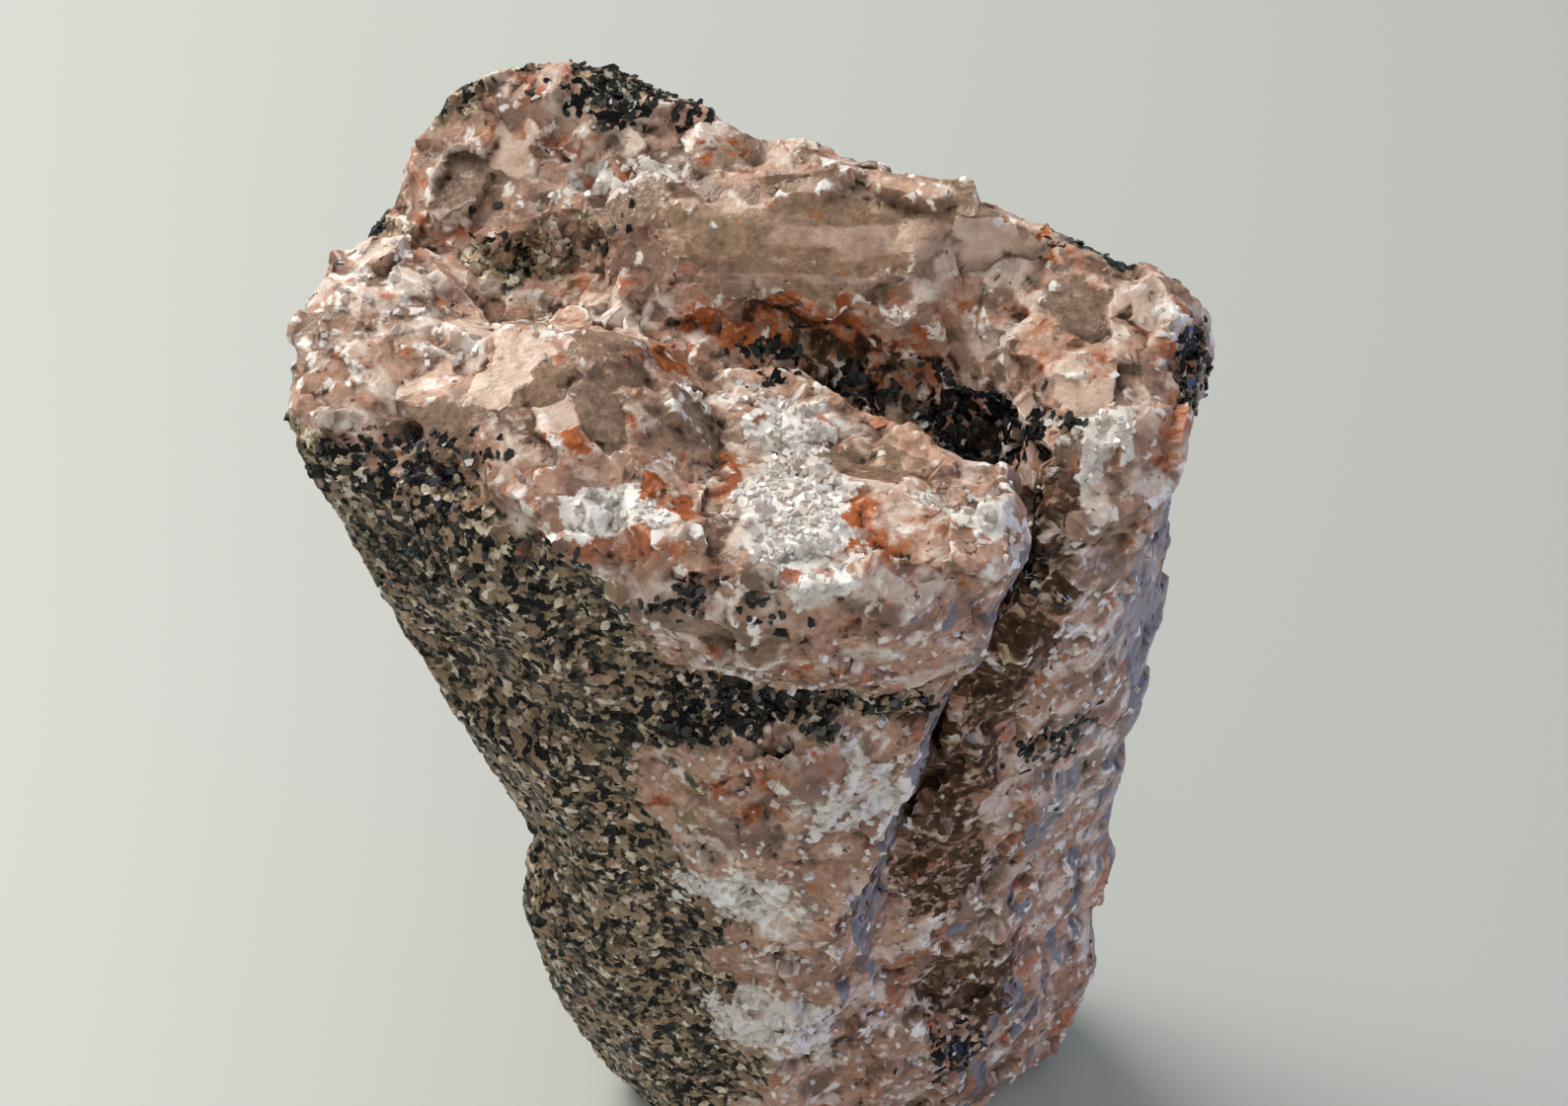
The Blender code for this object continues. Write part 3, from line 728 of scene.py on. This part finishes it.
granite = bpy.data.materials.new("pink granite")
granite.use_nodes = True
tree = granite.node_tree
shader = tree.nodes["Principled BSDF"]
bed_place = add(tree, "ShaderNodeAttribute", attribute_name="bed").outputs["Vector"]
where = {name: add(tree, "ShaderNodeAttribute", attribute_name=name).outputs["Fac"]
         for name in fields if name != "sugar"}
pattern = {size: cells(tree, bed_place, size) for size in SIZES.values()}
mottles = [add(tree, "ShaderNodeMapRange", {"Value": drift(tree, bed_place, size).outputs[0],
           "From Min": MOTTLE_LOW, "From Max": MOTTLE_HIGH}).outputs[0] for size in MOTTLE_SIZES]
print("fields read:", list(where))

# %% [markdown]
# One round of the loop lays one mineral over those before it. `spread` is the drift, read at
# another place for each mineral so that their patches don't fall together, and `draw` is the
# crystal's own random numbers: the first says whether the crystal is made of the mineral, and the
# second sets its shade, together with a mottle. The softness blurs a mineral's border a little.

# %% Laying the minerals
UNSTRETCHED = (1.0, 1.0, 1.0)
FIRST_PLACE, NEXT_PLACE = 11.0, 37.0
DRIFT_LOW, DRIFT_HIGH = 0.28, 0.72
SHADE_BY_CRYSTAL = 0.4

colour, roughness = paint("#b89c88"), 0.4
for turn, (region, share, patch, size, by_cell, soft, dark, light, rough) in enumerate(MINERALS):
    moved = add(tree, "ShaderNodeVectorMath", {0: bed_place, 1: STRETCH.get(region, UNSTRETCHED),
                2: (NEXT_PLACE * turn + FIRST_PLACE,) * 3}, operation="MULTIPLY_ADD")
    wander = drift(tree, moved.outputs[0], patch, detail=3.0)
    spread = add(tree, "ShaderNodeMapRange", {"Value": wander.outputs[0], "From Min": DRIFT_LOW,
                 "From Max": DRIFT_HIGH})
    draw = add(tree, "ShaderNodeTexWhiteNoise", {"Vector": pattern[size].outputs["Color"],
               "W": float(turn)}, noise_dimensions="4D")
    parts = add(tree, "ShaderNodeSeparateColor", {0: draw.outputs["Color"]})
    number = add(tree, "ShaderNodeMix", {0: by_cell, 2: spread.outputs[0], 3: parts.outputs[0]})
    likely = share
    if region != "all":
        likely = add(tree, "ShaderNodeMath", {0: where[region], 1: share},
                     operation="MULTIPLY").outputs[0]
    excess = add(tree, "ShaderNodeMath", {0: likely, 1: number.outputs[0]}, operation="SUBTRACT")
    here = add(tree, "ShaderNodeMapRange", {"Value": excess.outputs[0], "From Min": -soft,
               "From Max": soft}, interpolation_type="SMOOTHSTEP").outputs[0]
    shade = add(tree, "ShaderNodeMix", {0: SHADE_BY_CRYSTAL, 2: mottles[turn % 2],
                3: parts.outputs[1]})
    tone = add(tree, "ShaderNodeMix", {0: shade.outputs[0], 6: paint(dark), 7: paint(light)},
               data_type="RGBA")
    colour = add(tree, "ShaderNodeMix", {0: here, 6: colour, 7: tone.outputs[2]},
                 data_type="RGBA").outputs[2]
    roughness = add(tree, "ShaderNodeMix", {0: here, 2: roughness, 3: rough}).outputs[0]
print("nodes:", len(tree.nodes))

# %% [markdown]
# Two more layers lie over all the minerals. A broad, faint darkening keeps the stone from being
# even from side to side, and a painted shade, a darker colour multiplied in, stands for the shadow
# in the pits between grains. The surface reflects less than a polished mineral, because its break
# is rough below the size that the bump shows. Feldspar and quartz let some light in, the red part
# deepest.

# %% Broad tone, painted pit shade and depth
BROAD_SIZE = 22.0
BROAD_LOW, BROAD_HIGH, BROAD_MOST = 0.40, 0.70, 0.35

darker = drift(tree, bed_place, BROAD_SIZE, detail=3.0)
broad = add(tree, "ShaderNodeMapRange", {"Value": darker.outputs[0], "From Min": BROAD_LOW,
            "From Max": BROAD_HIGH, "To Min": 0.0, "To Max": BROAD_MOST})
colour = add(tree, "ShaderNodeMix", {0: broad.outputs[0], 6: colour, 7: paint("#b09a88")},
             data_type="RGBA", blend_type="MULTIPLY").outputs[2]
# painted shade: the pits between grains are multiplied darker in colour, as shadow falls in them
pit_shaded = add(tree, "ShaderNodeMix", {0: where["pits"], 6: colour, 7: paint("#5a4638")},
            data_type="RGBA", blend_type="MULTIPLY")
tree.links.new(pit_shaded.outputs[2], shader.inputs["Base Color"])
tree.links.new(roughness, shader.inputs["Roughness"])
shader.inputs["Specular IOR Level"].default_value = 0.2
shader.inputs["Subsurface Weight"].default_value = 0.25
shader.inputs["Subsurface Radius"].default_value = (1.0, 0.6, 0.45)
shader.inputs["Subsurface Scale"].default_value = 1.2 * MM
print("nodes:", len(tree.nodes))

# %% [markdown]
# The mesh has too few triangles for a flat face on every speck. So the material tilts the normal
# of each crystal, grain and speck as a whole, at random, and one catches the light while the next
# doesn't. In the vein the small sizes tilt less, because its faces are larger. A fine bump on top
# is the roughness of the break itself.

# %% Tilted faces and bump
TILTS = (
    # size, tilt, change of the tilt in the vein
    (CRYSTAL, 0.16, 0.0),
    (GRAIN, 0.40, -0.22),
    (SPECK, 0.34, -0.20),
)
BUMP_SIZE, BUMP_STRENGTH, BUMP_HEIGHT = 0.45, 0.5, 0.25 * MM

tilted = add(tree, "ShaderNodeNewGeometry").outputs["Normal"]
for size, tilt, in_vein in TILTS:
    lean = add(tree, "ShaderNodeVectorMath", {0: pattern[size].outputs["Color"],
               1: (0.5, 0.5, 0.5)}, operation="SUBTRACT")
    amount = add(tree, "ShaderNodeMath", {0: where["vein"], 1: in_vein, 2: tilt},
                 operation="MULTIPLY_ADD")
    tilted = add(tree, "ShaderNodeVectorMath", {0: lean.outputs[0], 1: amount.outputs[0],
                 2: tilted}, operation="MULTIPLY_ADD").outputs[0]
tilted = add(tree, "ShaderNodeVectorMath", {0: tilted}, operation="NORMALIZE")
height = drift(tree, bed_place, BUMP_SIZE, detail=3.0)
bump = add(tree, "ShaderNodeBump", {"Strength": BUMP_STRENGTH, "Distance": BUMP_HEIGHT,
           "Height": height.outputs[0], "Normal": tilted.outputs[0]})
tree.links.new(bump.outputs[0], shader.inputs["Normal"])
print("nodes:", len(tree.nodes))

# %% [markdown]
# The stone is finished. It gets its material, goes back to metres, and stands for the solid from
# now on: the solid is hidden, and stays only as the shape that bumps into things.

# %% The stone takes the solid's place
stone.data.materials.clear()
stone.data.materials.append(granite)
stone.data.transform(Matrix.Scale(MM, 4))
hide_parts("pink_granite")
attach(stone, "root")
print(stone.name, "triangles:", len(stone.data.polygons))

# %% [markdown]
# The floor is one pale, slightly glossy sheet, and an even pale room lights the shade. The Standard
# view shows the colours as they were set, with no film look over them.

# %% Floor and room
FLOOR_SIZE = 6.0

bpy.ops.mesh.primitive_plane_add(size=FLOOR_SIZE)
floor = bpy.context.object
floor.name = "floor"
sheet = bpy.data.materials.new("pale sheet")
sheet.use_nodes = True
sheet_shader = sheet.node_tree.nodes["Principled BSDF"]
sheet_shader.inputs["Base Color"].default_value = paint("#b2b6b3")
sheet_shader.inputs["Roughness"].default_value = 0.5
floor.data.materials.append(sheet)
floor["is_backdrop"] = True

scene = bpy.context.scene
scene.view_settings.view_transform = "Standard"
scene.world = bpy.data.worlds.new("pale room")
scene.world.use_nodes = True
room = scene.world.node_tree.nodes["Background"]
room.inputs["Color"].default_value = paint("#e2e5e5")
room.inputs["Strength"].default_value = 0.48
print("floor, m:", FLOOR_SIZE)

# %% [markdown]
# The key light is a wide soft panel above and behind the stone's left side, so the broken top is
# the brightest and the front is in soft shade, with a weak warm panel in front. A small, weak,
# cool panel low on the right lights the smooth side, whose lilac grey colour is partly painted
# cool light as well.

# %% Lights
MIDDLE = Vector((-10, 0, 90)) * MM
LIGHTS = (
    # name, place and size in millimetres, power in watts, colour, spread in degrees
    ("key panel", (-500, 480, 850), 620, 13.2, "#fffaf2", 180),
    ("front panel", (60, -640, 260), 500, 1.0, "#fff6ec", 180),
    ("cool panel", (390, -60, 90), 140, 0.07, "#7f9aff", 90),
)

for name, stand, size, power, hue, spread in LIGHTS:
    spot = Vector(stand) * MM
    aim = (MIDDLE - spot).to_track_quat("-Z", "Y").to_euler()
    bpy.ops.object.light_add(type="AREA", location=spot, rotation=aim)
    lamp = bpy.context.object
    lamp.name = name
    lamp.data.size = size * MM
    lamp.data.energy = power
    lamp.data.color = paint(hue)[:3]
    lamp.data.spread = math.radians(spread)
print("lights:", len(LIGHTS))

# %% [markdown]
# Last, the boxes of the solid and of the finished stone are printed.

# %% Sizes and the end
drawn_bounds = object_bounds()
sizes = {"cad": [list(corner) for corner in solid_bounds],
         "visual": [list(corner) for corner in drawn_bounds]}
for name, box in sizes.items():
    print(name, "mm:", [[round(side / MM, 1) for side in corner] for corner in box])
